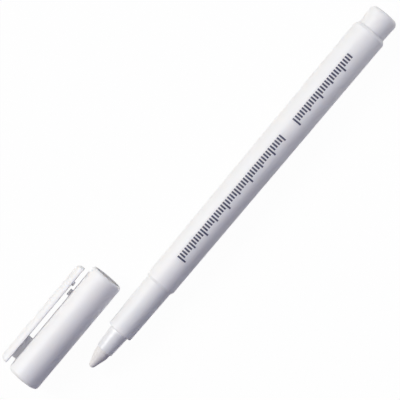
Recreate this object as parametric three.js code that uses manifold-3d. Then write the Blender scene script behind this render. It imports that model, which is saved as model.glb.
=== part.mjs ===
// A fibre-tip eraser pen that lies on a table, with its cap pulled off and laid beside it.
// Millimetres. +X runs from the nib to the tail, +Y to the cap's side, +Z up, the table at Z = 0.
import * as THREE from "three";
import { mergeVertices } from "three/addons/utils/BufferGeometryUtils.js";
import Module from "manifold-3d";

const wasm = await Module();
wasm.setup();

// Lengths along the pen, from the nib's point to the tail
const NIB_SHOWN = 6.1;
const NOSE_SHOWN = 7.0;
const NECK_LENGTH = 17.75;
const BARREL_LENGTH = 94.9;
const PLUG_SHOWN = 6.4;

// Outside of the pen
const NECK_FRONT_DIAMETER = 7.9;
const NECK_REAR_DIAMETER = 8.45;
const NECK_EDGE = 0.4;
const NECK_RIM = 0.95;
const BARREL_FRONT_DIAMETER = 9.4;
const BARREL_REAR_DIAMETER = 10.5;
const BARREL_FRONT_RUN = 0.8;
const BARREL_REAR_RUN = 1.0;
const BARREL_REAR_DROP = 0.85;
const PLUG_FRONT_STEP = 0.88;
const PLUG_REAR_STEP = 0.68;
const PLUG_EDGE = 1.5;

// Walls and inside lengths of the barrel
const BARREL_WALL = 1.0;
const NECK_WALL = 0.5;
const NECK_FRONT_WALL = 1.9;
const BORE_RUN = 2.0;

// Nib, as shares of its shown length and its radius, and its stem
const NIB_DIAMETER = 4.5;
const NIB_OUTLINE_SHARES = [
  [0.02, 0.2],
  [0.05, 0.31],
  [0.11, 0.42],
  [0.18, 0.485],
  [0.3, 0.575],
  [0.5, 0.755],
  [0.65, 0.885],
  [0.77, 0.96],
  [1, 1],
];
const NIB_GRIP = 5.4;
const STEM_SHARE = 0.7;
const STEM_TAPER = 0.5;
const STEM_DIP = 8.0;

// Nose that holds the nib
const NOSE_LIP = 0.35;
const NOSE_EDGE = 0.25;
const COLLAR_LENGTH = 2.0;
const SLEEVE_LENGTH = 6.0;
const SLEEVE_WALL = 1.1;

// Fluid wad with its film and air straw
const FILM_THICKNESS = 0.1;
const FILM_SHORT = 0.2;
const STRAW_DIAMETER = 0.8;
const STRAW_WALL = 0.15;

// Tail plug inside the barrel
const SPIGOT_LENGTH = 7.0;
const SOCKET_DEPTH = 3.0;
const SOCKET_LEDGE = 1.1;
const PLUG_END_WALL = 2.6;
const BEAD_HEIGHT = 0.12;
const BEAD_LENGTH = 1.2;
const BEAD_FROM_SEAT = 3.4;

// Cap
const CAP_LENGTH = 38.4;
const CAP_WALL = 0.9;
const CAP_END_WALL = 1.2;
const CAP_EDGE = 1.05;
const CAP_RIM_EDGE = 0.8;
const CAP_RIM_RUN = 1.3;
const CAP_DRAFT = 0.03;
const LINER_FLOOR = 0.8;

// Clip on the cap, its web and the two small nubs in its slot
const CLIP_LENGTH = 34.95;
const CLIP_THICKNESS = 2.3;
const CLIP_WIDTH = 6.2;
const CLIP_CORNER = 1.3;
const CLIP_FROM_END = 0.95;
const CLIP_GAP_ROOT = 1.49;
const CLIP_GAP_FREE = 1.44;
const WEB_FROM_ROOT = 2.2;
const WEB_LENGTH = 7.6;
const WEB_WIDTH = 1.3;
const WEB_DROP = 1.0;
const CAP_NUB_AT = 27.95;
const CAP_NUB_LENGTH = 2.0;
const CAP_NUB_HEIGHT = 0.8;
const CLIP_NUB_AT = 30.45;
const CLIP_NUB_LENGTH = 1.3;
const CLIP_NUB_HEIGHT = 0.6;

// Where the cap lies: its mouth behind the nib's point, and its axis to the side of the pen's
const CAP_MOUTH_BEHIND_POINT = 23.15;
const CAP_ASIDE = 12.8;

// Clearances
const SLIP = 0.05;
const SEAT = 0.05;
const WAD_SLACK = 0.15;
const CAP_FIT = 0.04;
const LINER_FIT = 0.12;
const WEB_FIT = 0.05;

// How finely round pieces are cut
const SEGMENTS = 48;
const STRAW_SEGMENTS = 12;
const CLIP_STEPS = 16;
const EDGE_STEPS = 4;

// Stations along the pen, from the nib's point
const neckFront = NIB_SHOWN + NOSE_SHOWN;
const barrelFront = neckFront + NECK_LENGTH;
const barrelRear = barrelFront + BARREL_LENGTH;
const penEnd = barrelRear + PLUG_SHOWN;
const collarFront = neckFront + NECK_FRONT_WALL + SEAT;
const sleeveFront = collarFront + COLLAR_LENGTH;
const wadFront = sleeveFront + SLEEVE_LENGTH + SEAT;
const spigotFront = barrelRear - SPIGOT_LENGTH;
const socketFloor = spigotFront + SOCKET_DEPTH;
const wadRear = socketFloor - SEAT;
const stemRear = wadFront + STEM_DIP;

// Radii, from the outside of the pen inwards
const neckFrontRadius = NECK_FRONT_DIAMETER / 2;
const neckRearRadius = NECK_REAR_DIAMETER / 2;
const barrelFrontRadius = BARREL_FRONT_DIAMETER / 2;
const barrelRearRadius = BARREL_REAR_DIAMETER / 2;
const neckBore = neckFrontRadius - NECK_WALL;
const barrelBoreFront = barrelFrontRadius - BARREL_WALL;
const barrelBoreRear = barrelRearRadius - BARREL_WALL;
const noseRearRadius = neckFrontRadius - NECK_RIM;
const frontHole = noseRearRadius + SLIP;
const nibRadius = NIB_DIAMETER / 2;
const stemRadius = nibRadius * STEM_SHARE;
const noseFrontRadius = nibRadius + NOSE_LIP;
const filmOuter = neckBore - WAD_SLACK;
const filmInner = filmOuter - FILM_THICKNESS;
const wadRadius = filmInner - SLIP;
const strawRadius = STRAW_DIAMETER / 2;
const strawOffset = wadRadius - strawRadius - SLIP;
const plugFrontRadius = barrelRearRadius - PLUG_FRONT_STEP;
const plugRearRadius = barrelRearRadius - PLUG_REAR_STEP;
const socketRadius = filmOuter + SLIP;

// The barrel narrows towards the nose and lies along its side, so the pen dips by its taper
const sideFront = barrelFront + BARREL_FRONT_RUN;
const sideRear = barrelRear - BARREL_REAR_RUN;
const taper = Math.atan((barrelRearRadius - barrelFrontRadius) / (sideRear - sideFront));

// The bore of the barrel at a station behind the neck
function boreAt(station) {
  const share = (station - barrelFront) / BARREL_LENGTH;
  return barrelBoreFront + share * (barrelBoreRear - barrelBoreFront);
}

// Points of a quarter round of a lathe outline, from one angle to another in degrees, with its reach along
// the axis where that isn't the same as its reach outwards
function roundEdge(radius, station, edge, from, to, run = edge) {
  const points = [];
  for (let step = 0; step <= EDGE_STEPS; step += 1) {
    const angle = THREE.MathUtils.degToRad(from + ((to - from) * step) / EDGE_STEPS);
    points.push([radius + edge * Math.cos(angle), station + run * Math.sin(angle)]);
  }
  return points;
}

// A geometry with plain shared corners, as the solids need it
function plain(geometry) {
  geometry.deleteAttribute("normal");
  geometry.deleteAttribute("uv");
  return mergeVertices(geometry);
}

// A turned piece along +X from an outline of radius and station
function turned(outline, segments = SEGMENTS) {
  const points = outline.map(([radius, station]) => new THREE.Vector2(radius, station));
  return plain(new THREE.LatheGeometry(points, segments)).rotateZ(-Math.PI / 2);
}

// A turned ring or tube, whose outline closes on itself
function turnedRing(outline, segments = SEGMENTS) {
  return turned([...outline, outline[0]], segments);
}

// A solid for joining and cutting
function solid(geometry) {
  return new wasm.Manifold(
    new wasm.Mesh({
      numProp: 3,
      vertProperties: new Float32Array(geometry.attributes.position.array),
      triVerts: new Uint32Array(geometry.index.array),
    }),
  );
}

// A geometry again from a joined or cut solid
function shape(made) {
  const mesh = made.getMesh();
  return new THREE.BufferGeometry()
    .setAttribute("position", new THREE.BufferAttribute(mesh.vertProperties, 3))
    .setIndex(new THREE.BufferAttribute(mesh.triVerts, 1));
}

// A box from its corner to the opposite corner
function block(low, high) {
  const size = high.map((value, axis) => value - low[axis]);
  const middle = high.map((value, axis) => (value + low[axis]) / 2);
  return plain(new THREE.BoxGeometry(...size)).translate(...middle);
}

function makeBarrel() {
  const beadMiddle = barrelRear - BEAD_FROM_SEAT;
  const grooveHalf = BEAD_LENGTH / 2 + SLIP;
  return turnedRing([
    [frontHole, neckFront],
    ...roundEdge(neckFrontRadius - NECK_EDGE, neckFront + NECK_EDGE, NECK_EDGE, -90, 0),
    [neckRearRadius, barrelFront],
    [barrelFrontRadius, sideFront],
    [barrelRearRadius, sideRear],
    [barrelRearRadius - BARREL_REAR_DROP, barrelRear],
    [barrelBoreRear, barrelRear],
    [boreAt(beadMiddle + grooveHalf), beadMiddle + grooveHalf],
    [boreAt(beadMiddle) + BEAD_HEIGHT, beadMiddle],
    [boreAt(beadMiddle - grooveHalf), beadMiddle - grooveHalf],
    [boreAt(barrelFront + BORE_RUN), barrelFront + BORE_RUN],
    [neckBore, barrelFront],
    [neckBore, neckFront + NECK_FRONT_WALL],
    [frontHole, neckFront + NECK_FRONT_WALL],
  ]);
}

function makeNose() {
  const nibBore = nibRadius + SLIP;
  const stemBore = stemRadius + SLIP;
  const gripRear = NIB_SHOWN + NIB_GRIP;
  const collar = neckBore - SLIP;
  const sleeve = stemRadius + SLEEVE_WALL;
  return turnedRing([
    [nibBore, NIB_SHOWN],
    ...roundEdge(noseFrontRadius - NOSE_EDGE, NIB_SHOWN + NOSE_EDGE, NOSE_EDGE, -90, 0),
    [noseRearRadius, neckFront],
    [noseRearRadius, collarFront],
    [collar, collarFront],
    [collar, sleeveFront],
    [sleeve, sleeveFront],
    [sleeve, sleeveFront + SLEEVE_LENGTH],
    [stemBore, sleeveFront + SLEEVE_LENGTH],
    [stemBore, gripRear + STEM_TAPER],
    [nibBore, gripRear],
  ]);
}

function makeNib() {
  const gripRear = NIB_SHOWN + NIB_GRIP - SEAT;
  return turned([
    [0, 0],
    ...NIB_OUTLINE_SHARES.map(([along, out]) => [nibRadius * out, NIB_SHOWN * along]),
    [nibRadius, gripRear],
    [stemRadius, gripRear + STEM_TAPER],
    [stemRadius, stemRear],
    [0, stemRear],
  ]);
}

function makeWad() {
  const stemSocket = stemRadius + SLIP;
  const core = turned([
    [0, stemRear + SEAT],
    [stemSocket, stemRear + SEAT],
    [stemSocket, wadFront],
    [wadRadius, wadFront],
    [wadRadius, wadRear],
    [0, wadRear],
  ]);
  const groove = turned(
    [
      [0, wadFront - SEAT],
      [strawRadius + SLIP, wadFront - SEAT],
      [strawRadius + SLIP, wadRear + SEAT],
      [0, wadRear + SEAT],
    ],
    STRAW_SEGMENTS,
  ).translate(0, 0, strawOffset);
  return shape(solid(core).subtract(solid(groove)));
}

function makeFilm() {
  return turnedRing([
    [filmInner, wadFront + FILM_SHORT],
    [filmOuter, wadFront + FILM_SHORT],
    [filmOuter, wadRear - FILM_SHORT],
    [filmInner, wadRear - FILM_SHORT],
  ]);
}

function makeStraw() {
  return turnedRing(
    [
      [strawRadius - STRAW_WALL, wadFront],
      [strawRadius, wadFront],
      [strawRadius, wadRear],
      [strawRadius - STRAW_WALL, wadRear],
    ],
    STRAW_SEGMENTS,
  ).translate(0, 0, strawOffset);
}

function makePlug() {
  const beadMiddle = barrelRear - BEAD_FROM_SEAT;
  const hollow = socketRadius - SOCKET_LEDGE;
  const spigotAt = (station) => boreAt(station) - SLIP;
  return turned([
    [0, penEnd - PLUG_END_WALL],
    [hollow, penEnd - PLUG_END_WALL],
    [hollow, socketFloor],
    [socketRadius, socketFloor],
    [socketRadius, spigotFront],
    [spigotAt(spigotFront), spigotFront],
    [spigotAt(beadMiddle - BEAD_LENGTH / 2), beadMiddle - BEAD_LENGTH / 2],
    [spigotAt(beadMiddle) + BEAD_HEIGHT, beadMiddle],
    [spigotAt(beadMiddle + BEAD_LENGTH / 2), beadMiddle + BEAD_LENGTH / 2],
    [spigotAt(barrelRear), barrelRear + SEAT],
    [plugFrontRadius, barrelRear + SEAT],
    ...roundEdge(plugRearRadius - PLUG_EDGE, penEnd - PLUG_EDGE, PLUG_EDGE, 0, 90),
    [0, penEnd],
  ]);
}

// The cap is made along +X from its closed end, around its own axis
const capMouthRadius = neckRearRadius + CAP_FIT + CAP_WALL;
const capEndRadius = capMouthRadius - CAP_DRAFT;
const neckFrontInCap = CAP_LENGTH - NECK_LENGTH;
const capBoreAtNeck = neckFrontRadius + CAP_FIT;
const capBoreEnd = capBoreAtNeck - CAP_DRAFT / 2;

// The web and the nubs lie below the cap's axis, between these heights
const webHigh = WEB_WIDTH / 2 - WEB_DROP;
const webLow = webHigh - WEB_WIDTH;

// The outside of the cap at a station from its closed end
function capRadiusAt(station) {
  return capEndRadius + (CAP_DRAFT * station) / CAP_LENGTH;
}

// The clip leans towards the cap at its free end
const clipRootY = capRadiusAt(CLIP_FROM_END) + CLIP_GAP_ROOT;
const clipFreeY = capRadiusAt(CLIP_FROM_END + CLIP_LENGTH) + CLIP_GAP_FREE;
const clipLean = Math.atan((clipRootY - clipFreeY) / CLIP_LENGTH);

// The inner face of the clip at a station from the cap's closed end
function clipInnerAt(station) {
  return clipRootY - Math.tan(clipLean) * (station - CLIP_FROM_END);
}

// A low bar between two side lines in plan, a little below the height of the cap's axis
function lowBar(plan) {
  const outline = new THREE.Shape(plan.map(([x, y]) => new THREE.Vector2(x, y)));
  const made = new THREE.ExtrudeGeometry(outline, { depth: WEB_WIDTH, bevelEnabled: false });
  return plain(made).translate(0, 0, webLow);
}

function makeCapShell() {
  const shell = turned([
    [0, 0],
    ...roundEdge(capEndRadius - CAP_EDGE, CAP_EDGE, CAP_EDGE, -90, 0),
    ...roundEdge(capMouthRadius - CAP_RIM_EDGE, CAP_LENGTH - CAP_RIM_RUN, CAP_RIM_EDGE, 0, 90, CAP_RIM_RUN),
    [neckRearRadius + CAP_FIT, CAP_LENGTH],
    [capBoreAtNeck, neckFrontInCap],
    [capBoreEnd, CAP_END_WALL],
    [0, CAP_END_WALL],
  ]);
  const rooted = capEndRadius - CAP_WALL / 2;
  const webRear = CLIP_FROM_END + WEB_FROM_ROOT;
  const webFront = webRear + WEB_LENGTH;
  const web = lowBar([
    [webRear, rooted],
    [webFront, rooted],
    [webFront, clipInnerAt(webFront) - WEB_FIT],
    [webRear, clipInnerAt(webRear) - WEB_FIT],
  ]);
  const nubTop = capRadiusAt(CAP_NUB_AT) + CAP_NUB_HEIGHT;
  const nub = block(
    [CAP_NUB_AT - CAP_NUB_LENGTH / 2, rooted, webLow],
    [CAP_NUB_AT + CAP_NUB_LENGTH / 2, nubTop, webHigh],
  );
  return shape(solid(shell).add(solid(web)).add(solid(nub)));
}

function makeCapLiner() {
  const rear = CAP_END_WALL + SEAT;
  const front = neckFrontInCap - SEAT;
  const inside = noseRearRadius + LINER_FIT;
  return turned([
    [0, rear],
    [capBoreEnd - SLIP, rear],
    [capBoreAtNeck - SLIP, front],
    [inside, front],
    [inside - CAP_DRAFT / 2, rear + LINER_FLOOR],
    [0, rear + LINER_FLOOR],
  ]);
}

function makeClip() {
  // In plan, a bar with its outer corners rounded
  const cornerY = CLIP_THICKNESS - CLIP_CORNER;
  const quarter = Math.PI / 2;
  const plan = new THREE.Shape();
  plan.moveTo(0, 0);
  plan.lineTo(CLIP_LENGTH, 0);
  plan.absarc(CLIP_LENGTH - CLIP_CORNER, cornerY, CLIP_CORNER, 0, quarter, false);
  plan.absarc(CLIP_CORNER, cornerY, CLIP_CORNER, quarter, 2 * quarter, false);
  plan.closePath();
  const deep = new THREE.ExtrudeGeometry(plan, {
    depth: 2 * CLIP_WIDTH,
    curveSegments: EDGE_STEPS,
    bevelEnabled: false,
  });
  // In section, half an ellipse that runs on a little past the flat side
  const section = new THREE.Shape();
  section.moveTo(CLIP_WIDTH / 2, -CLIP_CORNER);
  section.lineTo(CLIP_WIDTH / 2, 0);
  section.absellipse(0, 0, CLIP_WIDTH / 2, CLIP_THICKNESS, 0, Math.PI, false, 0);
  section.lineTo(-CLIP_WIDTH / 2, -CLIP_CORNER);
  section.closePath();
  const long = new THREE.ExtrudeGeometry(section, {
    depth: 2 * CLIP_LENGTH,
    curveSegments: CLIP_STEPS,
    bevelEnabled: false,
  });
  const bar = solid(plain(deep).translate(0, 0, -CLIP_WIDTH));
  const round = solid(plain(long).rotateY(quarter).translate(-CLIP_LENGTH / 2, 0, 0));
  const nubMiddle = CLIP_NUB_AT - CLIP_FROM_END;
  const nub = block(
    [nubMiddle - CLIP_NUB_LENGTH / 2, -CLIP_NUB_HEIGHT, webLow],
    [nubMiddle + CLIP_NUB_LENGTH / 2, CLIP_THICKNESS / 2, webHigh],
  );
  return shape(bar.intersect(round).add(solid(nub)))
    .rotateZ(-clipLean)
    .translate(CLIP_FROM_END, clipRootY, 0);
}

// A named piece in its own plain finish
function piece(name, geometry, colour, roughness) {
  const material = new THREE.MeshStandardMaterial({ color: colour, roughness });
  const mesh = new THREE.Mesh(geometry, material);
  mesh.name = name;
  return mesh;
}

const pen = new THREE.Group();
pen.add(
  piece("barrel", makeBarrel(), 0xf1f0f3, 0.45),
  piece("nose", makeNose(), 0xf3f2f4, 0.45),
  piece("nib", makeNib(), 0xdccfd3, 0.95),
  piece("fluid_wad", makeWad(), 0xe8e6e0, 0.95),
  piece("wad_film", makeFilm(), 0xdfe6ea, 0.3),
  piece("air_straw", makeStraw(), 0xe9eef0, 0.4),
  piece("tail_plug", makePlug(), 0xf1f0f3, 0.45),
);
pen.rotation.y = -taper;
pen.position.z = barrelFrontRadius * Math.cos(taper) - sideFront * Math.sin(taper);

const cap = new THREE.Group();
cap.add(
  piece("cap_shell", makeCapShell(), 0xf1f0f3, 0.45),
  piece("cap_liner", makeCapLiner(), 0xecebec, 0.5),
  piece("cap_clip", makeClip(), 0xf1f0f3, 0.45),
);
cap.position.set(CAP_MOUTH_BEHIND_POINT - CAP_LENGTH, CAP_ASIDE, capMouthRadius);

// The frame's origin is on the table, under the middle of the whole
const eraserPen = new THREE.Group();
eraserPen.add(pen, cap);
const middle = new THREE.Box3().setFromObject(eraserPen, true).getCenter(new THREE.Vector3());
const toMiddle = new THREE.Vector3(-middle.x, -middle.y, 0);
pen.position.add(toMiddle);
cap.position.add(toMiddle);

export default eraserPen;
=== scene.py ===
"""Looks of a white fibre-tip eraser pen that lies on a table beside its pulled-off cap.

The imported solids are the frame. Each shown piece is made again here in finer mesh, where its solid
lies, and rides on that solid's body. Sizes are in millimetres, meshes in metres.
"""

import logging
import random
from collections.abc import Callable, Sequence
from dataclasses import dataclass
from enum import Enum
from math import atan, ceil, cos, degrees, hypot, pi, radians, sin, sqrt, tan, tau

import bmesh
import bpy
from mathutils import Matrix, Vector


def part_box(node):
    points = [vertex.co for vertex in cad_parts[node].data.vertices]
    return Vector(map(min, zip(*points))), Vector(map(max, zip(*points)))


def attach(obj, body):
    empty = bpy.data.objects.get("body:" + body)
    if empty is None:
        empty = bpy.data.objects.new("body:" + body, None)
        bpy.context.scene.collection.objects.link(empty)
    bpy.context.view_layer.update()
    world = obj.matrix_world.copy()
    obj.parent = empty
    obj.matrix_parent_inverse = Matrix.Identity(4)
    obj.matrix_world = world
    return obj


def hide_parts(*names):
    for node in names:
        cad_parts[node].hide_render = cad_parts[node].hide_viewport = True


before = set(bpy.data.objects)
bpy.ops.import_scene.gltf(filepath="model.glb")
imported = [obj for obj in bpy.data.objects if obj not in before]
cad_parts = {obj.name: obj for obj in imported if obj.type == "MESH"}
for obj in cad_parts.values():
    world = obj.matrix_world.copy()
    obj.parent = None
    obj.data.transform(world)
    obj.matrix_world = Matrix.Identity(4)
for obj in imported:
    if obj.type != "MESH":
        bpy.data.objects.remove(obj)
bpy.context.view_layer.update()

LOG = logging.getLogger("eraser_pen")

MM = 0.001
SEGMENTS = 144
EDGE_STEPS = 8
BEVEL_STEPS = 4
BEVEL_ROUND = 0.5
LONGEST_RUN = 1.6
NOISE_MEAN = 0.5
SHARP = radians(40)

# Socket numbers of a Mix node for colours
MIX_SHARE, MIX_LOW, MIX_HIGH, MIX_RESULT = 0, 6, 7, 2

Colour = tuple[float, float, float]
Point = tuple[float, float, float]
Band = tuple[float, float]
Outline = list[tuple[float, float]]
Mesh = bmesh.types.BMesh
Reach = Callable[[float, float, float], float]


class Body(Enum):
    """The bodies that move."""

    PEN = "pen"
    CAP = "cap"
    CLIP = "clip"


class Slot(Enum):
    """Names of the pen's material slots."""

    SHELL = "shell_plastic"
    NOSE = "nose_plastic"
    NIB = "nib_felt"
    WAD = "wad_fibre"
    FILM = "film"
    STRAW = "straw_plastic"
    LINER = "liner_plastic"


class Tick(Enum):
    """Heights of the printed scale's marks, in millimetres."""

    SHORT = 1.9
    MIDDLE = 2.4
    LONG = 2.9


class Detail(Enum):
    """How many finer layers a noise has."""

    PLAIN = 0.0
    SOFT = 1.0
    FINE = 2.0
    FINEST = 3.0


# Shader nodes


class Wire:
    """One output of a node, with the sums that shader maths is written in."""

    def __init__(self, recipe: "Recipe", socket: bpy.types.NodeSocket | None) -> None:
        """Holds an output, or None for a node that has none, and its recipe."""
        self.recipe = recipe
        self.socket = socket

    def __add__(self, other: "Wire | float") -> "Wire":
        """Adds a value."""
        return self.recipe.maths("ADD", self, other)

    def __radd__(self, other: float) -> "Wire":
        """Adds to a number."""
        return self.recipe.maths("ADD", other, self)

    def __sub__(self, other: "Wire | float") -> "Wire":
        """Takes a value away."""
        return self.recipe.maths("SUBTRACT", self, other)

    def __rsub__(self, other: float) -> "Wire":
        """Is taken away from a number."""
        return self.recipe.maths("SUBTRACT", other, self)

    def __mul__(self, other: "Wire | float") -> "Wire":
        """Multiplies by a value."""
        return self.recipe.maths("MULTIPLY", self, other)

    def __rmul__(self, other: float) -> "Wire":
        """Multiplies a number."""
        return self.recipe.maths("MULTIPLY", other, self)


class Recipe:
    """Builds the node tree of one material or of the world."""

    def __init__(self, tree: bpy.types.NodeTree) -> None:
        """Empties the tree that is to be filled."""
        self.tree = tree
        tree.nodes.clear()

    def node(
        self,
        kind: str,
        settings: dict[str, object] | None = None,
        inputs: dict[str | int, object] | None = None,
        output: str | int = 0,
    ) -> Wire:
        """Adds one node.

        Args:
            kind: The node's type.
            settings: Its properties, which are set first.
            inputs: Values or wires of its sockets, by name or number.
            output: The output to hand back.

        Returns:
            The chosen output.
        """
        made = self.tree.nodes.new(kind)
        for name, value in (settings or {}).items():
            setattr(made, name, value)
        for key, value in (inputs or {}).items():
            if isinstance(value, Wire):
                self.tree.links.new(value.socket, made.inputs[key])
            else:
                made.inputs[key].default_value = value
        return Wire(self, made.outputs[output] if made.outputs else None)

    def maths(self, operation: str, first: Wire | float, second: Wire | float) -> Wire:
        """Adds a Math node on two values."""
        return self.node("ShaderNodeMath", {"operation": operation}, {0: first, 1: second})

    def blend(self, share: Wire | float, low: Wire | Colour, high: Wire | Colour) -> Wire:
        """Mixes two colours.

        Args:
            share: How much of the second one shows.
            low: The first colour.
            high: The second colour.

        Returns:
            The mixed colour.
        """
        pair = [c if isinstance(c, Wire) else (*c, 1.0) for c in (low, high)]
        sockets = {MIX_SHARE: share, MIX_LOW: pair[0], MIX_HIGH: pair[1]}
        return self.node("ShaderNodeMix", {"data_type": "RGBA"}, sockets, MIX_RESULT)

    def noise(self, detail: Detail, along: float, across: float | None = None) -> Wire:
        """Adds cloud-like noise from 0 to 1 over the piece.

        Args:
            detail: Its finer layers.
            along: Size of its features along the pen, in millimetres.
            across: Their size across the pen, where that isn't the same.

        Returns:
            The noise's value.
        """
        scale = tuple(1 / (size * MM) for size in (along, across or along, across or along))
        place = self.node("ShaderNodeTexCoord", output="Object")
        scaled = self.node("ShaderNodeVectorMath", {"operation": "MULTIPLY"}, {0: place, 1: scale})
        sockets = {"Vector": scaled, "Scale": 1.0, "Detail": detail.value}
        return self.node("ShaderNodeTexNoise", None, sockets)

    def ease(self, value: Wire, band: Band) -> Wire:
        """Rises smoothly from 0 to 1 while a value crosses a band."""
        sockets = {"Value": value, "From Min": band[0], "From Max": band[1]}
        return self.node("ShaderNodeMapRange", {"interpolation_type": "SMOOTHSTEP"}, sockets)

    def bump(self, height: Wire, depth: float, strength: float) -> Wire:
        """Turns a height into a normal, where a height of 1 is this deep, in millimetres."""
        sockets = {"Height": height, "Distance": depth * MM, "Strength": strength}
        return self.node("ShaderNodeBump", None, sockets)

    def principled(self, base: Wire, rough: Wire, normal: Wire, fixed: dict[str, object]) -> Wire:
        """Adds the surface shader, with what varies over the piece and what is fixed."""
        varied = {"Base Color": base, "Roughness": rough, "Normal": normal}
        return self.node("ShaderNodeBsdfPrincipled", None, varied | fixed)

    def seen(self) -> Wire:
        """Tells apart the rays that show a surface as it is: camera, mirror and glass rays.

        Returns:
            1 for such a ray and 0 for any other.
        """
        rays = [
            self.node("ShaderNodeLightPath", output=name)
            for name in ("Is Camera Ray", "Is Glossy Ray", "Is Transmission Ray")
        ]
        return self.maths("MAXIMUM", self.maths("MAXIMUM", rays[0], rays[1]), rays[2])


# Finishes


@dataclass(frozen=True)
class Finish:
    """A surface finish, made into one material on first use."""

    name: str
    colour: Colour
    roughness: float = 0.9

    def material(self) -> bpy.types.Material:
        """Gives the material, and makes it on first use.

        Returns:
            The material.
        """
        known = bpy.data.materials.get(self.name)
        if known is not None:
            return known
        made = bpy.data.materials.new(self.name)
        made.use_nodes = True
        recipe = Recipe(made.node_tree)
        recipe.node("ShaderNodeOutputMaterial", None, {"Surface": self.surface(recipe)})
        return made

    def surface(self, recipe: Recipe) -> Wire:
        """Builds the shader."""
        raise NotImplementedError


@dataclass(frozen=True)
class MouldedPlastic(Finish):
    """Satin milky plastic: faint clouds, mould streaks, fine grain, dust specks, rubbed edges, and
    painted shade that darkens concave corners.
    """

    warm: Colour = (0.9, 0.885, 0.86)
    # Colour of the dust specks, and of the painted shade in concave corners.
    dirt_and_shade: Colour = (0.5, 0.47, 0.45)
    clouds: float = 11.0
    cloud_warmth: float = 0.5
    cloud_rough: float = 0.12
    streak_length: float = 26.0
    streak_width: float = 0.7
    streak_warmth: float = 0.2
    streak_rough: float = 0.1
    grain: float = 0.16
    grain_depth: float = 0.003
    grain_share: float = 0.75
    grain_shown: float = 0.5
    specks: float = 0.5
    speck_band: Band = (0.83, 0.87)
    speck_soil: float = 0.1
    rubbed_band: Band = (0.53, 0.62)
    rubbed_rough: float = 0.08
    corner_band: Band = (0.4, 0.49)
    # How far concave corners are painted darker as shade.
    corner_shade: float = 0.07
    corner_rough: float = 0.12
    refraction: float = 1.49
    milky: float = 0.8
    milky_depth: float = 0.7
    milky_tint: Colour = (1.0, 0.95, 0.9)

    def surface(self, recipe: Recipe) -> Wire:
        """Builds the shader.

        Args:
            recipe: The material's node tree.

        Returns:
            The shader.
        """
        cloud = recipe.noise(Detail.FINEST, self.clouds)
        streak = recipe.noise(Detail.FINEST, self.streak_length, self.streak_width)
        grain = recipe.noise(Detail.SOFT, self.grain)
        speck = recipe.ease(recipe.noise(Detail.PLAIN, self.specks), self.speck_band)
        bend = recipe.node("ShaderNodeNewGeometry", output="Pointiness")
        rubbed = recipe.ease(bend, self.rubbed_band)
        # Concave corners by Pointiness: painted darker as shade, and made rougher.
        corner = 1 - recipe.ease(bend, self.corner_band)
        warmth = cloud * self.cloud_warmth + streak * self.streak_warmth
        clean = recipe.blend(warmth, self.colour, self.warm)
        # The specks are dust; the corner part is painted shade.
        dirt_and_corner_shade = corner * self.corner_shade + speck * self.speck_soil
        uneven = (cloud - NOISE_MEAN) * self.cloud_rough + (streak - NOISE_MEAN) * self.streak_rough
        worn = corner * self.corner_rough - rubbed * self.rubbed_rough
        height = grain * self.grain_share + streak * (1 - self.grain_share)
        return recipe.principled(
            recipe.blend(dirt_and_corner_shade, clean, self.dirt_and_shade),
            self.roughness + uneven + worn,
            recipe.bump(height, self.grain_depth, self.grain_shown),
            {
                "IOR": self.refraction,
                "Subsurface Weight": self.milky,
                "Subsurface Radius": self.milky_tint,
                "Subsurface Scale": self.milky_depth * MM,
            },
        )


@dataclass(frozen=True)
class PressedFibre(Finish):
    """Fibres pressed side by side along the pen, dull, with pale and dark tufts, and painted shade in
    the low furrows between strands.
    """

    # Colour of the darker tufts, and of the painted shade in the furrows.
    dark_and_furrow_shade: Colour = (0.6, 0.55, 0.57)
    strand_length: float = 1.8
    strand_width: float = 0.06
    strand_share: float = 0.7
    strand_shown: float = 0.6
    depth: float = 0.02
    # Band and depth of the painted furrow shade.
    furrow_shade_band: Band = (0.28, 0.5)
    furrow_shade: float = 0.45
    tufts: float = 0.45
    tuft_dark: float = 0.35
    tuft_rough: float = 0.12
    gloss: float = 0.2
    fuzz: float = 0.12

    def surface(self, recipe: Recipe) -> Wire:
        """Builds the shader.

        Args:
            recipe: The material's node tree.

        Returns:
            The shader.
        """
        strand = recipe.noise(Detail.FINE, self.strand_length, self.strand_width)
        tuft = recipe.noise(Detail.FINEST, self.tufts)
        # Where the strands are low and the bump sinks them, the colour is painted darker as shade.
        furrow_shade_mask = 1 - recipe.ease(strand, self.furrow_shade_band)
        height = strand * self.strand_share + tuft * (1 - self.strand_share)
        tuft_tone_and_furrow_shade = furrow_shade_mask * self.furrow_shade + (tuft - NOISE_MEAN) * self.tuft_dark
        return recipe.principled(
            recipe.blend(tuft_tone_and_furrow_shade, self.colour, self.dark_and_furrow_shade),
            self.roughness + (tuft - NOISE_MEAN) * self.tuft_rough,
            recipe.bump(height, self.depth, self.strand_shown),
            {"Specular IOR Level": self.gloss, "Sheen Weight": self.fuzz},
        )


@dataclass(frozen=True)
class PrintInk(Finish):
    """Pad-printed ink: a thin even film with pinholes and slightly starved spots."""

    starved: Colour = (0.07, 0.072, 0.13)
    starved_band: Band = (0.45, 0.75)
    patches: float = 0.6
    patch_share: float = 0.7
    dots: float = 0.09
    dot_depth: float = 0.003
    dot_rough: float = 0.2
    dot_shown: float = 0.4

    def surface(self, recipe: Recipe) -> Wire:
        """Builds the shader.

        Args:
            recipe: The material's node tree.

        Returns:
            The shader.
        """
        patch = recipe.noise(Detail.FINEST, self.patches)
        dot = recipe.noise(Detail.SOFT, self.dots)
        thin = recipe.ease(patch * self.patch_share + dot * (1 - self.patch_share), self.starved_band)
        return recipe.principled(
            recipe.blend(thin, self.colour, self.starved),
            self.roughness + (dot - NOISE_MEAN) * self.dot_rough,
            recipe.bump(dot, self.dot_depth, self.dot_shown),
            {},
        )


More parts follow.
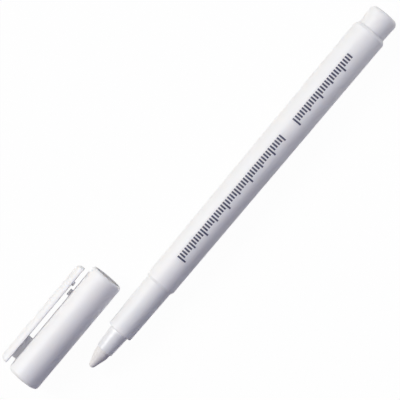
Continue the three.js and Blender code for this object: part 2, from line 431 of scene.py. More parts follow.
@dataclass(frozen=True)
class MilkyWrap(Finish):
    """Thin milky wrap or drawn tube with lengthwise creases."""

    crease: float = 0.5
    depth: float = 0.01
    crease_length: float = 30.0
    crease_rough: float = 0.2
    crease_shown: float = 0.5
    dimmed: float = 0.9

    def surface(self, recipe: Recipe) -> Wire:
        """Builds the shader.

        Args:
            recipe: The material's node tree.

        Returns:
            The shader.
        """
        crease = recipe.noise(Detail.FINEST, self.crease * self.crease_length, self.crease)
        shade = tuple(self.dimmed * part for part in self.colour)
        return recipe.principled(
            recipe.blend(crease, self.colour, shade),
            self.roughness + (crease - NOISE_MEAN) * self.crease_rough,
            recipe.bump(crease, self.depth, self.crease_shown),
            {},
        )


@dataclass(frozen=True)
class TableTop(Finish):
    """Pale table that shows white, and still takes the pen's soft shadow."""

    shadow_share: float = 0.06
    own_light: float = 0.97
    flecks: float = 3.0
    fleck_shade: float = 0.97

    def surface(self, recipe: Recipe) -> Wire:
        """Builds the shader.

        Args:
            recipe: The material's node tree.

        Returns:
            The shader.
        """
        fleck = recipe.noise(Detail.FINE, self.flecks)
        shade = tuple(self.fleck_shade * part for part in self.colour)
        flecked = recipe.blend(fleck, self.colour, shade)
        plain = recipe.node("ShaderNodeBsdfDiffuse", None, {"Color": flecked})
        white = 1 - self.shadow_share
        shown = recipe.node("ShaderNodeEmission", None, {"Strength": self.own_light / white})
        return recipe.node("ShaderNodeMixShader", None, {0: recipe.seen() * white, 1: plain, 2: shown})


SHELL_WHITE = MouldedPlastic("satin_white_shell", (0.925, 0.92, 0.935), 0.5)
NOSE_WHITE = MouldedPlastic(
    "satin_white_nose", (0.875, 0.875, 0.89), 0.32, (0.855, 0.855, 0.865), streak_length=6.0, milky=0.3
)
LINER_WHITE = MouldedPlastic("soft_white_liner", (0.9, 0.9, 0.9), 0.6, grain=0.22)
NIB_FELT = PressedFibre("pressed_nib_felt", (0.91, 0.885, 0.86), 0.95)
WAD_FIBRE = PressedFibre("bundled_wad_fibre", (0.91, 0.9, 0.88), 0.95, (0.7, 0.69, 0.66), 12.0, 0.12)
SCALE_INK = PrintInk("navy_scale_ink", (0.02, 0.021, 0.06), 0.45)
WRAP_FILM = MilkyWrap("milky_wad_wrap", (0.87, 0.9, 0.92), 0.3)
STRAW_TUBE = MilkyWrap("drawn_air_tube", (0.91, 0.93, 0.94), 0.35, 0.15, 0.004)
PALE_TABLE = TableTop("pale_table", (0.51, 0.5, 0.5))


# Shaping


def rounded(
    station: float, radius: float, edge: float, start: float, end: float, run: float | None = None
) -> Outline:
    """Gives the points of a rounded edge of a turned outline.

    Args:
        station: The round's centre along the axis.
        radius: The round's centre from the axis.
        edge: The round's own radius.
        start: First angle in degrees, 0 outwards and 90 along the axis.
        end: Last angle in degrees.
        run: The round's reach along the axis, where that isn't its radius.

    Returns:
        Stations and radii.
    """
    reach = edge if run is None else run
    points = []
    for step in range(EDGE_STEPS + 1):
        angle = radians(start + (end - start) * step / EDGE_STEPS)
        points.append((station + reach * sin(angle), radius + edge * cos(angle)))
    return points


def refined(outline: Outline, span: float) -> Outline:
    """Adds points on the long runs of an outline.

    Args:
        outline: Stations and radii.
        span: The longest run that is left as it is.

    Returns:
        The denser outline.
    """
    dense = [outline[0]]
    for (near, low), (far, high) in zip(outline, outline[1:]):
        parts = max(1, ceil(hypot(far - near, high - low) / span))
        for part in range(1, parts + 1):
            share = part / parts
            dense.append((near + (far - near) * share, low + (high - low) * share))
    return dense


def bridge(made: Mesh, near: list[bmesh.types.BMVert], far: list[bmesh.types.BMVert]) -> None:
    """Joins two loops of points with faces, where a loop of one point is a tip.

    Args:
        made: The mesh under way.
        near: The first loop.
        far: The second loop.
    """
    count = max(len(near), len(far))
    for step in range(count):
        follow = (step + 1) % count
        steps = ((near, step), (near, follow), (far, follow), (far, step))
        corners = [loop[number % len(loop)] for loop, number in steps]
        made.faces.new(tuple(dict.fromkeys(corners)))


def turned(
    outline: Outline,
    ring: bool = False,
    span: float = LONGEST_RUN,
    segments: int = SEGMENTS,
    reach: Reach | None = None,
) -> Mesh:
    """Turns an outline around the X axis.

    Args:
        outline: Stations and radii, from one end to the other or once around a ring.
        ring: Whether the outline closes on itself.
        span: The longest run that isn't split.
        segments: Steps around the axis.
        reach: Changes a radius by its station and angle, for a surface that isn't quite round.

    Returns:
        The closed mesh.
    """
    made = bmesh.new()
    loops = []
    dense = refined([*outline, outline[0]], span)[:-1] if ring else refined(outline, span)
    for station, radius in dense:
        if radius == 0:
            loops.append([made.verts.new((station * MM, 0, 0))])
            continue
        loop = []
        for step in range(segments):
            angle = tau * step / segments
            out = reach(station, angle, radius) if reach else radius
            point = Vector((station, out * cos(angle), out * sin(angle)))
            loop.append(made.verts.new(point * MM))
        loops.append(loop)
    for near, far in zip(loops, loops[1:]):
        bridge(made, near, far)
    if ring:
        bridge(made, loops[-1], loops[0])
    bmesh.ops.recalc_face_normals(made, faces=made.faces[:])
    return made


def lofted(loops: Sequence[Sequence[Vector]]) -> Mesh:
    """Spans a closed mesh over loops of points, with a flat face at each end.

    Args:
        loops: Loops of equal length, in millimetres.

    Returns:
        The closed mesh.
    """
    made = bmesh.new()
    rows = [[made.verts.new(point * MM) for point in loop] for loop in loops]
    for near, far in zip(rows, rows[1:]):
        bridge(made, near, far)
    for row in (rows[0], rows[-1]):
        made.faces.new(row)
    bmesh.ops.recalc_face_normals(made, faces=made.faces[:])
    return made


def lug(run: Band, foot: float, tops: Band, heights: Band, edge: float) -> Mesh:
    """Makes a small bar that stands out sideways, with rounded edges.

    Args:
        run: Where it starts and ends along X.
        foot: Where its foot is along Y.
        tops: Where its top is along Y, at its start and at its end.
        heights: Where its bottom and its upper side are along Z.
        edge: Radius of the rounded edges.

    Returns:
        The closed mesh.
    """
    made = bmesh.new()
    plan = ((run[0], foot), (run[1], foot), (run[1], tops[1]), (run[0], tops[0]))
    rows = [[made.verts.new(Vector((x, y, z)) * MM) for x, y in plan] for z in heights]
    bridge(made, rows[0], rows[1])
    for row in rows:
        made.faces.new(row)
    bmesh.ops.bevel(
        made,
        geom=made.edges[:],
        offset=edge * MM,
        segments=BEVEL_STEPS,
        profile=BEVEL_ROUND,
        affect="EDGES",
        clamp_overlap=True,
    )
    bmesh.ops.recalc_face_normals(made, faces=made.faces[:])
    return made


def into_object(name: str, made: Mesh, place: Matrix) -> bpy.types.Object:
    """Turns a mesh under way into an object at the origin.

    Args:
        name: The object's name.
        made: The mesh under way, which is used up.
        place: Where the piece lies in the frame.

    Returns:
        The object.
    """
    made.transform(place)
    mesh = bpy.data.meshes.new(name)
    made.to_mesh(mesh)
    made.free()
    thing = bpy.data.objects.new(name, mesh)
    bpy.context.scene.collection.objects.link(thing)
    return thing


def welded(base: bpy.types.Object, extra: bpy.types.Object) -> None:
    """Joins a second solid to the first, as if moulded in one.

    Args:
        base: The solid that stays.
        extra: The solid that is used up.
    """
    weld = base.modifiers.new("weld", "BOOLEAN")
    weld.operation = "UNION"
    weld.solver = "EXACT"
    weld.object = extra
    shaped = base.evaluated_get(bpy.context.evaluated_depsgraph_get())
    mesh = bpy.data.meshes.new_from_object(shaped)
    base.modifiers.clear()
    old = base.data
    base.data = mesh
    bpy.data.meshes.remove(old)
    mesh.name = base.name
    bpy.data.objects.remove(extra)


def dressed(
    thing: bpy.types.Object,
    finish: Finish,
    body: Body,
    nodes: Sequence[str] = (),
) -> None:
    """Gives a piece its finish and its place in the frame.

    Args:
        thing: The piece, in place.
        finish: Its finish.
        body: The body it rides on.
        nodes: The solids it stands for.
    """
    thing.data.materials.clear()
    thing.data.materials.append(finish.material())
    for polygon in thing.data.polygons:
        polygon.use_smooth = True
    thing.data.set_sharp_from_angle(angle=SHARP)
    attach(thing, body.value)
    if nodes:
        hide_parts(*nodes)
    LOG.info("%s: %d faces, %s, on %s", thing.name, len(thing.data.polygons), finish.name, body.value)


# The pen


@dataclass(frozen=True)
class PenLine:
    """Stations and radii along the pen that its pieces share, from the nib's point."""

    nib_shown: float = 6.1
    nose_shown: float = 7.0
    neck: float = 17.75
    barrel: float = 94.9
    plug_shown: float = 6.4
    neck_front_radius: float = 3.95
    neck_rear_radius: float = 4.225
    front_radius: float = 4.7
    rear_radius: float = 5.25
    front_run: float = 0.8
    rear_run: float = 1.0
    rear_drop: float = 0.85
    neck_rim: float = 0.95
    neck_wall: float = 0.5
    wall: float = 1.0
    slip: float = 0.05
    seat: float = 0.05

    @property
    def neck_front(self) -> float:
        """Where the neck starts."""
        return self.nib_shown + self.nose_shown

    @property
    def barrel_front(self) -> float:
        """Where the barrel's step is."""
        return self.neck_front + self.neck

    @property
    def barrel_rear(self) -> float:
        """Where the barrel ends."""
        return self.barrel_front + self.barrel

    @property
    def end(self) -> float:
        """Where the pen ends."""
        return self.barrel_rear + self.plug_shown

    @property
    def side_front(self) -> float:
        """Where the barrel's straight side starts, behind its sloped step."""
        return self.barrel_front + self.front_run

    @property
    def side_rear(self) -> float:
        """Where the barrel's straight side ends, before its sloped end."""
        return self.barrel_rear - self.rear_run

    @property
    def nose_radius(self) -> float:
        """The nose's radius where it meets the neck."""
        return self.neck_front_radius - self.neck_rim

    @property
    def neck_bore(self) -> float:
        """The bore inside the neck."""
        return self.neck_front_radius - self.neck_wall

    @property
    def taper(self) -> float:
        """The slope of the barrel's side, on which the pen lies."""
        return atan((self.rear_radius - self.front_radius) / (self.side_rear - self.side_front))

    def bore_at(self, station: float) -> float:
        """Gives the bore's radius at a station behind the step."""
        share = (station - self.barrel_front) / self.barrel
        return self.front_radius - self.wall + share * (self.rear_radius - self.front_radius)

    def side_at(self, station: float) -> float:
        """Gives the outside radius at a station on the straight side."""
        share = (station - self.side_front) / (self.side_rear - self.side_front)
        return self.front_radius + share * (self.rear_radius - self.front_radius)

    def place(self) -> Matrix:
        """Lays the pen's pieces in the frame.

        Returns:
            The matrix from stations along the pen to the frame.
        """
        low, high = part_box("nib")
        lift = self.front_radius * cos(self.taper) - self.side_front * sin(self.taper)
        origin = Vector((low.x, (low.y + high.y) / 2, lift * MM))
        return Matrix.Translation(origin) @ Matrix.Rotation(-self.taper, 4, "Y")


@dataclass
class Barrel:
    """The tapered barrel with its stepped neck, and the tail plug that closes it."""

    line: PenLine
    neck_edge: float = 0.4
    neck_front_wall: float = 1.9
    step_fillet: float = 0.35
    rear_lip: float = 0.06
    bore_run: float = 2.0
    bead_from_seat: float = 3.4
    bead_length: float = 1.2
    bead_height: float = 0.12
    plug_front_step: float = 0.88
    plug_rear_step: float = 0.68
    plug_edge: float = 1.5
    spigot: float = 7.0
    socket_depth: float = 3.0
    socket_radius: float = 3.35
    socket_ledge: float = 1.1
    plug_end_wall: float = 2.6
    gate_radius: float = 0.6
    gate_depth: float = 0.08

    def barrel_outline(self) -> Outline:
        """Gives the barrel's outline, once around its wall.

        Returns:
            Stations and radii.
        """
        line = self.line
        hole = line.nose_radius + line.slip
        bead = line.barrel_rear - self.bead_from_seat
        half = self.bead_length / 2 + line.slip
        neck_back = line.neck_front + self.neck_front_wall
        neck_edge, fillet = self.neck_edge, self.step_fillet
        slope = atan((line.front_radius - line.neck_rear_radius) / line.front_run)
        set_back = fillet * tan(slope / 2)
        lean = degrees(slope)
        rear_slope = atan(line.rear_drop / line.rear_run)
        rear_back = fillet * tan(rear_slope / 2)
        rear_lean = degrees(rear_slope)
        lip = self.rear_lip
        lip_low = line.rear_radius - line.rear_drop - lip * tan((pi / 2 - rear_slope) / 2)
        neck_low, neck_high = line.neck_front_radius - neck_edge, line.neck_rear_radius + fillet
        return [
            (line.neck_front, hole),
            *rounded(line.neck_front + neck_edge, neck_low, neck_edge, -90, 0),
            *rounded(line.barrel_front - set_back, neck_high, fillet, 180, 180 - lean),
            *rounded(line.side_front + set_back, line.front_radius - fillet, fillet, -lean, 0),
            *rounded(line.side_rear - rear_back, line.rear_radius - fillet, fillet, 0, rear_lean),
            *rounded(line.barrel_rear - lip, lip_low, lip, rear_lean, 90),
            (line.barrel_rear, line.bore_at(line.barrel_rear)),
            (bead + half, line.bore_at(bead + half)),
            (bead, line.bore_at(bead) + self.bead_height),
            (bead - half, line.bore_at(bead - half)),
            (line.barrel_front + self.bore_run, line.bore_at(line.barrel_front + self.bore_run)),
            (line.barrel_front, line.neck_bore),
            (neck_back, line.neck_bore),
            (neck_back, hole),
        ]

    def plug_outline(self) -> Outline:
        """Gives the tail plug's outline, from its hollow to its flat end.

        Returns:
            Stations and radii.
        """
        line = self.line
        seat = line.barrel_rear + line.seat
        bead = line.barrel_rear - self.bead_from_seat
        front = line.barrel_rear - self.spigot
        floor = front + self.socket_depth
        hollow = self.socket_radius - self.socket_ledge
        hollow_end = line.end - self.plug_end_wall
        edge = self.plug_edge
        half = self.bead_length / 2
        stations = (front, bead - half, bead, bead + half, line.barrel_rear)
        spigot = {at: line.bore_at(at) - line.slip for at in stations}
        spigot[bead] += self.bead_height
        return [
            (hollow_end, 0),
            (hollow_end, hollow),
            (floor, hollow),
            (floor, self.socket_radius),
            (front, self.socket_radius),
            *spigot.items(),
            (seat, spigot[line.barrel_rear]),
            (seat, line.rear_radius - self.plug_front_step),
            *rounded(line.end - edge, line.rear_radius - self.plug_rear_step - edge, edge, 0, 90),
            (line.end, self.gate_radius + self.gate_depth),
            (line.end - self.gate_depth, self.gate_radius),
            (line.end - self.gate_depth, 0),
        ]

    def build(self) -> None:
        """Builds and dresses the barrel and its plug."""
        place = self.line.place()
        barrel = into_object("barrel_tube", turned(self.barrel_outline(), ring=True), place)
        dressed(barrel, SHELL_WHITE, Body.PEN, ["barrel"])
        plug = into_object("tail_stopper", turned(self.plug_outline()), place)
        dressed(plug, SHELL_WHITE, Body.PEN, ["tail_plug"])


@dataclass
class PrintedScale:
    """Plain navy tick marks in two groups along the barrel, as a thin ink film on its top."""

    line: PenLine
    groups: tuple[tuple[float, int], ...] = ((41.0, 45), (92.1, 24))
    pitch: float = 1.0
    middle_every: int = 5
    long_every: int = 10
    width: float = 0.52
    base: float = 1.25
    film: float = 0.02
    steps: int = 6

    def mark(self, made: Mesh, station: float, height: float) -> None:
        """Adds one tick as a thin closed patch that hugs the barrel.

        Args:
            made: The mesh under way.
            station: The tick's middle along the pen.
            height: The tick's length across the barrel.
        """
        loops = []
        for lift in (-self.film, self.film):
            for side in (-0.5, 0.5):
                at = station + side * self.width
                radius = self.line.side_at(at) + lift
                loop = []
                for step in range(self.steps + 1):
                    across = self.base - height * step / self.steps
                    angle = across / self.line.side_at(at)
                    point = Vector((at, radius * sin(angle), radius * cos(angle))) * MM
                    loop.append(made.verts.new(point))
                loops.append(loop)
        under_front, under_rear, over_front, over_rear = loops
        section = (under_front, under_rear, over_rear, over_front)
        for near, far in zip(section, (*section[1:], section[0])):
            for step in range(self.steps):
                made.faces.new((near[step], near[step + 1], far[step + 1], far[step]))
        for step in (0, self.steps):
            made.faces.new([row[step] for row in section])

    def build(self) -> None:
        """Builds and dresses the marks."""
        made = bmesh.new()
        for start, count in self.groups:
            for number in range(count + 1):
                tick = Tick.SHORT
                if number % self.long_every == 0:
                    tick = Tick.LONG
                elif number % self.middle_every == 0:
                    tick = Tick.MIDDLE
                self.mark(made, start + number * self.pitch, tick.value)
        bmesh.ops.recalc_face_normals(made, faces=made.faces[:])
        dressed(into_object("barrel_print", made, self.line.place()), SCALE_INK, Body.PEN)


@dataclass
class Tip:
    """The nose cone and the fibre nib it holds."""

    line: PenLine
    nib_radius: float = 2.25
    nib_grip: float = 5.4
    stem_share: float = 0.7
    stem_taper: float = 0.5
    stem_rear: float = 31.1
    stem_span: float = 0.8
    nose_lip: float = 0.35
    nose_edge: float = 0.25
    collar_front: float = 15.05
    collar: float = 2.0
    sleeve: float = 6.0
    sleeve_wall: float = 1.1
    outline_shares: tuple[tuple[float, float], ...] = (
        (0.0, 0.0), (0.02, 0.2), (0.05, 0.31), (0.11, 0.42), (0.18, 0.485),
        (0.3, 0.575), (0.5, 0.755), (0.65, 0.885), (0.77, 0.96), (1.0, 1.0),
    )
    curve_steps: int = 6
    curve_beyond: float = 1.4
    strands: int = 96
    strand_depth: float = 0.018
    furrow_share: float = 0.6
    wave_pace: Band = (1.2, 3.2)
    wave_shift: float = 9.0
    seed: int = 11

    def nose_outline(self) -> Outline:
        """Gives the nose's outline, once around its wall.

        Returns:
            Stations and radii.
        """
        line = self.line
        bore = self.nib_radius + line.slip
        stem = self.nib_radius * self.stem_share
        grip = line.nib_shown + self.nib_grip
        front = self.nib_radius + self.nose_lip
        rear = self.collar_front + self.collar
        end = rear + self.sleeve
        return [
            (line.nib_shown, bore),
            *rounded(line.nib_shown + self.nose_edge, front - self.nose_edge, self.nose_edge, -90, 0),
            (line.neck_front, line.nose_radius),
            (self.collar_front, line.nose_radius),
            (self.collar_front, line.neck_bore - line.slip),
            (rear, line.neck_bore - line.slip),
            (rear, stem + self.sleeve_wall),
            (end, stem + self.sleeve_wall),
            (end, stem + line.slip),
            (grip + self.stem_taper, stem + line.slip),
            (grip, bore),
        ]

    def bullet(self) -> Outline:
        """Gives the nib's shown outline as a smooth curve through its shares.

        Returns:
            Stations and radii from the point to the nose.
        """
        shares = (*self.outline_shares, (self.curve_beyond, 1.0))
        points = [Vector((a * self.line.nib_shown, r * self.nib_radius)) for a, r in shares]
        points.insert(0, Vector((points[1].x, -points[1].y)))
        curve = [(0.0, 0.0)]
        for before, near, far, after in zip(points, points[1:], points[2:], points[3:]):
            for step in range(1, self.curve_steps + 1):
                t = step / self.curve_steps
                point = 0.5 * (
                    2 * near
                    + (far - before) * t
                    + (2 * before - 5 * near + 4 * far - after) * t**2
                    + (3 * near - before - 3 * far + after) * t**3
                )
                curve.append((point.x, min(point.y, self.nib_radius)))
        return curve

    def strand_reach(self) -> Reach:
        """Draws fine fibre furrows along the nib.

        Returns:
            The change that they make to a radius.
        """
        draw = random.Random(self.seed)
        furrows = [draw.random() for _ in range(self.strands)]
        paces = [draw.uniform(*self.wave_pace) for _ in range(self.strands)]

        def reach(station: float, angle: float, radius: float) -> float:
            """Lowers a radius into the furrow at an angle.

            Args:
                station: Station along the nib.
                angle: Angle around it.
                radius: Radius of the smooth nib.

            Returns:
                The furrowed radius.
            """
            number = round(angle / tau * self.strands) % self.strands
            furrow = furrows[number]
            wave = 0.5 + 0.5 * sin(station * paces[number] + self.wave_shift * furrow)
            deep = self.furrow_share * furrow + (1 - self.furrow_share) * wave
            return radius - self.strand_depth * min(1.0, radius / self.nib_radius) * deep

        return reach

    def build(self) -> None:
        """Builds and dresses the nose and the nib."""
        line = self.line
        place = line.place()
        nose = into_object("nose_cone", turned(self.nose_outline(), ring=True), place)
        dressed(nose, NOSE_WHITE, Body.PEN, ["nose"])
        stem = self.nib_radius * self.stem_share
        grip = line.nib_shown + self.nib_grip - line.seat
        outline = [
            *self.bullet(),
            (grip, self.nib_radius),
            (grip + self.stem_taper, stem),
            (self.stem_rear, stem),
            (self.stem_rear, 0.0),
        ]
        reach = self.strand_reach()
        fibres = turned(outline, span=self.stem_span, segments=2 * self.strands, reach=reach)
        nib = into_object("fibre_nib", fibres, place)
        dressed(nib, NIB_FELT, Body.PEN, ["nib"])


@dataclass
class Reservoir:
    """The fluid wad inside the barrel, with its wrap and air tube, which keep their imported meshes."""

    line: PenLine
    front: float = 23.1
    rear: float = 121.7
    radius: float = 3.15
    stem_socket: float = 1.625
    socket_end: float = 31.15
    tube_offset: float = 2.7
    groove: float = 0.45
    ridges: int = 30
    ridge_depth: float = 0.07
    ridge_twist: float = 0.05
    span: float = 4.0
    segments: int = 240

    def bundle_reach(self, station: float, angle: float, radius: float) -> float:
        """Draws the bundle's strands, and the groove for the air tube, into a radius.

        Args:
            station: Station along the wad.
            angle: Angle around it.
            radius: Radius of the smooth wad.

        Returns:
            The ridged radius.
        """
        if radius < self.radius:
            return radius
        turn = angle - pi / 2
        aside = self.tube_offset * sin(turn)
        wave = 0.5 - 0.5 * cos(self.ridges * angle + self.ridge_twist * station)
        ridged = radius - self.ridge_depth * wave
        if abs(aside) >= self.groove or cos(turn) < 0:
            return ridged
        return min(ridged, self.tube_offset * cos(turn) - sqrt(self.groove**2 - aside**2))

    def build(self) -> None:
        """Builds the wad, and dresses it, its wrap and its tube."""
        outline = [
            (self.socket_end, 0.0),
            (self.socket_end, self.stem_socket),
            (self.front, self.stem_socket),
            (self.front, self.radius),
            (self.rear, self.radius),
            (self.rear, 0.0),
        ]
        bundle = turned(outline, span=self.span, segments=self.segments, reach=self.bundle_reach)
        wad = into_object("wad_bundle", bundle, self.line.place())
        dressed(wad, WAD_FIBRE, Body.PEN, ["fluid_wad"])
        for node, finish in (("wad_film", WRAP_FILM), ("air_straw", STRAW_TUBE)):
            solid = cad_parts[node]
            solid.data.materials.clear()
            solid.data.materials.append(finish.material())
            LOG.info("%s: as packed, %s", node, finish.name)


# The cap


@dataclass(frozen=True)
class CapLine:
    """Stations and radii of the cap that its pieces share, from its closed end."""

    length: float = 38.4
    end_radius: float = 5.135
    mouth_radius: float = 5.165
    clip_from_end: float = 0.95
    clip_length: float = 34.95
    gap_root: float = 1.49
    gap_free: float = 1.44
    web_heights: Band = (-1.65, -0.35)

    def outside_at(self, station: float) -> float:
        """Gives the cap's outside radius at a station."""
        return self.end_radius + (self.mouth_radius - self.end_radius) * station / self.length

    @property
    def clip_root(self) -> float:
        """The clip's inner face at its root, from the cap's axis."""
        return self.outside_at(self.clip_from_end) + self.gap_root

    @property
    def lean(self) -> float:
        """How far the clip leans towards the cap."""
        free = self.outside_at(self.clip_from_end + self.clip_length) + self.gap_free
        return atan((self.clip_root - free) / self.clip_length)

    def clip_inner_at(self, station: float) -> float:
        """Gives the clip's inner face at a station, from the cap's axis."""
        return self.clip_root - tan(self.lean) * (station - self.clip_from_end)

    def place(self) -> Matrix:
        """Lays the cap's pieces in the frame.

        Returns:
            The matrix from stations along the cap to the frame.
        """
        shell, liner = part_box("cap_shell"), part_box("cap_liner")
        middle = (liner[0] + liner[1]) / 2
        return Matrix.Translation((shell[0].x, middle.y, middle.z))


@dataclass
class Cap:
    """The push-on cap with its clip web and nub, and the liner cup inside."""

    line: CapLine
    edge: float = 1.05
    rim_edge: float = 0.8
    rim_run: float = 1.3
    mouth_bore: float = 4.265
    mouth_lead: float = 0.08
    neck_station: float = 20.65
    neck_bore: float = 3.99
    end_bore: float = 3.975
    end_wall: float = 1.2
    wall: float = 0.9
    gate_radius: float = 0.7
    gate_depth: float = 0.08
    web_start: float = 3.15
    web_length: float = 7.6
    web_fit: float = 0.05
    nub_at: float = 27.95
    nub_length: float = 2.0
    nub_height: float = 0.8
    soft_edge: float = 0.18
    liner_rear: float = 1.25
    liner_front: float = 20.6
    liner_floor: float = 0.8
    liner_inside: float = 3.12
    liner_draft: float = 0.015
    liner_lip: float = 0.2
    slip: float = 0.05

    def shell_outline(self) -> Outline:
        """Gives the shell's outline, from its closed end around the mouth to the bore's floor.

        Returns:
            Stations and radii.
        """
        line = self.line
        lead, rim, run = self.mouth_lead, self.rim_edge, self.rim_run
        return [
            (self.gate_depth, 0.0),
            (self.gate_depth, self.gate_radius),
            (0.0, self.gate_radius + self.gate_depth),
            *rounded(self.edge, line.end_radius - self.edge, self.edge, -90, 0),
            *rounded(line.length - run, line.mouth_radius - rim, rim, 0, 90, run),
            *rounded(line.length - lead, self.mouth_bore + lead, lead, 90, 180),
            (self.neck_station, self.neck_bore),
            (self.end_wall, self.end_bore),
            (self.end_wall, 0.0),
        ]

    def web(self) -> Mesh:
        """Makes the web that carries the clip.

        Returns:
            The closed mesh.
        """
        line = self.line
        run = (self.web_start, self.web_start + self.web_length)
        tops = tuple(line.clip_inner_at(station) - self.web_fit for station in run)
        foot = line.end_radius - self.wall / 2
        return lug(run, foot, tops, line.web_heights, self.soft_edge)

    def nub(self) -> Mesh:
        """Makes the small nub that closes the clip's slot.

        Returns:
            The closed mesh.
        """
        line = self.line
        run = (self.nub_at - self.nub_length / 2, self.nub_at + self.nub_length / 2)
        top = line.outside_at(self.nub_at) + self.nub_height
        foot = line.end_radius - self.wall / 2
        return lug(run, foot, (top, top), line.web_heights, self.soft_edge)

    def liner_outline(self) -> Outline:
        """Gives the liner cup's outline.

        Returns:
            Stations and radii.
        """
        floor = self.liner_rear + self.liner_floor
        lip = self.liner_lip
        front_radius = self.neck_bore - self.slip
        return [
            (self.liner_rear, 0.0),
            (self.liner_rear, self.end_bore - self.slip),
            *rounded(self.liner_front - lip, front_radius - lip, lip, 0, 90),
            *rounded(self.liner_front - lip, self.liner_inside + lip, lip, 90, 180),
            (floor, self.liner_inside - self.liner_draft),
            (floor, 0.0),
        ]

    def build(self) -> None:
        """Builds and dresses the shell and its liner."""
        place = self.line.place()
        shell = into_object("cap_sleeve", turned(self.shell_outline()), place)
        welded(shell, into_object("cap_web", self.web(), place))
        welded(shell, into_object("cap_nub", self.nub(), place))
        dressed(shell, SHELL_WHITE, Body.CAP, ["cap_shell"])
        liner = into_object("cap_inner_cup", turned(self.liner_outline()), place)
        dressed(liner, LINER_WHITE, Body.CAP, ["cap_liner"])


@dataclass
class Clip:
    """The half-round clip bar beside the cap, with its own small nub."""

    line: CapLine
    thickness: float = 2.3
    width: float = 6.2
    corner: float = 1.3
    side_corner: float = 0.7
    soft_edge: float = 0.12
    nub_at: float = 30.45
    nub_length: float = 1.3
    nub_height: float = 0.6
    nub_edge: float = 0.15
    steps: int = 40
    runs: int = 44
    corner_steps: int = 12

    def stations(self) -> list[float]:
        """Gives the stations of the bar's sections, closer together at its ends.

        Returns:
            Stations from the bar's root.
        """
        end, corner = self.line.clip_length, self.corner
        turns = [radians(90 * step / self.corner_steps) for step in range(self.corner_steps + 1)]
        near = [corner * (1 - cos(turn)) for turn in turns]
        middle = [corner + (end - 2 * corner) * step / self.runs for step in range(1, self.runs)]
        return [*near, *middle, *[end - at for at in reversed(near)]]

    def dip(self, station: float, corner: float) -> float:
        """Gives how far a rounded corner draws the bar in at a station, 0 away from its ends."""
        inside = min(station, self.line.clip_length - station)
        return 0.0 if inside >= corner else corner - sqrt(corner**2 - (corner - inside) ** 2)

    def section(self, station: float) -> list[Vector]:
        """Gives the bar's section at a station.

        Args:
            station: A station from the bar's root.

        Returns:
            Points once around it.
        """
        inset = self.dip(station, self.soft_edge)
        thick = self.thickness - self.dip(station, self.corner)
        half = self.width / 2 - self.dip(station, self.side_corner)
        edge = self.soft_edge
        angles = [radians(90 * step / EDGE_STEPS) for step in range(EDGE_STEPS)]
        points = [(edge - edge * cos(a), half - edge + edge * sin(a)) for a in angles]
        back = [(y, -z) for y, z in reversed(points)]
        for step in range(self.steps + 1):
            angle = pi * step / self.steps
            points.append((edge + (thick - edge) * sin(angle), half * cos(angle)))
        points.extend(back)
        return [Vector((station, max(y, inset), z)) for y, z in points]

    def build(self) -> None:
        """Builds and dresses the clip."""
        line = self.line
        place = (
            line.place()
            @ Matrix.Translation(Vector((line.clip_from_end, line.clip_root, 0)) * MM)
            @ Matrix.Rotation(-line.lean, 4, "Z")
        )
        bar = into_object("cap_clip_bar", lofted([self.section(at) for at in self.stations()]), place)
        middle = self.nub_at - line.clip_from_end
        run = (middle - self.nub_length / 2, middle + self.nub_length / 2)
        top = self.thickness / 2
        nub = lug(run, -self.nub_height, (top, top), line.web_heights, self.nub_edge)
        welded(bar, into_object("clip_nub", nub, place))
        dressed(bar, SHELL_WHITE, Body.CLIP, ["cap_clip"])


# The studio


@dataclass(frozen=True)
class Lamp:
    """A far sun, or a near square panel that faces one of the solids.

    A sun has the direction it is seen in, watts on a square metre and its spread in degrees. A panel
    has its place and size in millimetres, and watts.
    """

    name: str
    place: Point
    strength: float
    colour: Colour
    size: float
    target: str | None = None

    def hang(self) -> None:
        """Adds the lamp to the scene."""
        data = bpy.data.lights.new(self.name, "AREA" if self.target else "SUN")
        data.color = self.colour
        data.energy = self.strength
        holder = bpy.data.objects.new(self.name, data)
        towards = Vector(self.place)
        if self.target:
            low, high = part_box(self.target)
            holder.location = towards * MM
            towards = towards * MM - (low + high) / 2
            data.size = self.size * MM
        else:
            data.angle = radians(self.size)
        holder.rotation_mode = "QUATERNION"
        holder.rotation_quaternion = towards.to_track_quat("Z", "Y")
        bpy.context.scene.collection.objects.link(holder)


LAMPS = (
    Lamp("broad_top", (0.0, 0.14, 1.0), 0.45, (0.965, 0.95, 1.0), 60.0),
    Lamp("low_front", (-0.956, 0.0, 0.292), 0.22, (1.0, 0.98, 0.92), 40.0),
    Lamp("low_rear", (0.956, 0.0, 0.292), 0.8, (0.95, 0.98, 1.0), 40.0),
    Lamp("low_left", (0.0, 0.999, 0.035), 0.16, (1.0, 1.0, 1.0), 20.0),
    Lamp("shade_tint", (0.0, -0.574, 0.819), 0.21, (0.2, 0.17, 1.0), 20.0),
    Lamp("soft_key", (-318.5, 1498.6, 1285.6), 29.4, (1.0, 1.0, 0.97), 920.0, "nose"),
    Lamp("tail_fill", (85.0, -90.0, 60.0), 0.013, (0.99, 1.0, 0.92), 60.0, "tail_plug"),
)


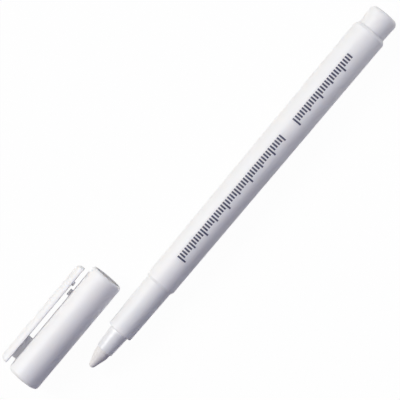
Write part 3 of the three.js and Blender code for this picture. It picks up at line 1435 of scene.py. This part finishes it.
@dataclass
class Studio:
    """The pale table, the soft light and the camera above."""

    table_rings: tuple[float, ...] = (50.0, 200.0, 600.0, 2500.0)
    table_sides: int = 64
    table_drop: float = 0.02
    room_colour: Colour = (0.01, 0.01, 0.013)
    room_shown: Colour = (1.0, 1.0, 1.0)
    lens: float = 188.0
    sensor: float = 36.0
    view_range: Band = (10.0, 20000.0)
    aim: Point = (-1.28, -1.6, 5.0)
    foot: tuple[float, float] = (13.4, -1.6)
    turn: float = -50.07
    distance: float = 600.3

    def table(self) -> None:
        """Makes the table as a wide disc with a fine middle."""
        made = bmesh.new()
        turns = [tau * side / self.table_sides for side in range(self.table_sides)]
        rows = [
            [made.verts.new(Vector((cos(turn), sin(turn), 0)) * reach * MM) for turn in turns]
            for reach in self.table_rings
        ]
        made.faces.new(rows[0])
        for near, far in zip(rows, rows[1:]):
            bridge(made, near, far)
        for face in made.faces:
            face.normal_update()
            if face.normal.z < 0:
                face.normal_flip()
        top = into_object("pale_table_top", made, Matrix.Translation((0, 0, -self.table_drop * MM)))
        top.data.materials.append(PALE_TABLE.material())

    def light(self) -> None:
        """Hangs the lamps and sets the room's even light."""
        for lamp in LAMPS:
            lamp.hang()
        world = bpy.data.worlds.new("room")
        world.use_nodes = True
        recipe = Recipe(world.node_tree)
        shown = recipe.blend(recipe.seen(), self.room_colour, self.room_shown)
        room = recipe.node("ShaderNodeBackground", None, {"Color": shown, "Strength": 1.0})
        recipe.node("ShaderNodeOutputWorld", None, {"Surface": room})
        bpy.context.scene.world = world

    def camera(self) -> None:
        """Hangs the camera above, a little towards the tail, turned as the photograph is."""
        eye = bpy.data.cameras.new("eye")
        eye.lens = self.lens
        eye.sensor_width = self.sensor
        eye.clip_start, eye.clip_end = (end * MM for end in self.view_range)
        holder = bpy.data.objects.new("eye", eye)
        aim = Vector(self.aim)
        place = Vector((*self.foot, aim.z + self.distance))
        back = (place - aim).normalized()
        turn = radians(self.turn)
        upward = back.cross(Vector((cos(turn), sin(turn), 0))).normalized()
        axes = Matrix((upward.cross(back), upward, back)).transposed()
        holder.matrix_world = Matrix.Translation(place * MM) @ axes.to_4x4()
        bpy.context.scene.collection.objects.link(holder)
        bpy.context.scene.camera = holder

    def build(self) -> None:
        """Builds the studio."""
        bpy.context.scene.view_settings.view_transform = "Standard"
        self.camera()
        self.light()
        self.table()
        LOG.info("studio: camera, light and table")


def main() -> None:
    """Builds the studio and the pen's sub-assemblies in order."""
    logging.basicConfig(level=logging.INFO, format="%(name)s: %(message)s")
    pen, cap = PenLine(), CapLine()
    Studio().build()
    for assembly in (Barrel(pen), PrintedScale(pen), Tip(pen), Reservoir(pen), Cap(cap), Clip(cap)):
        assembly.build()


if __name__ == "__main__":
    main()
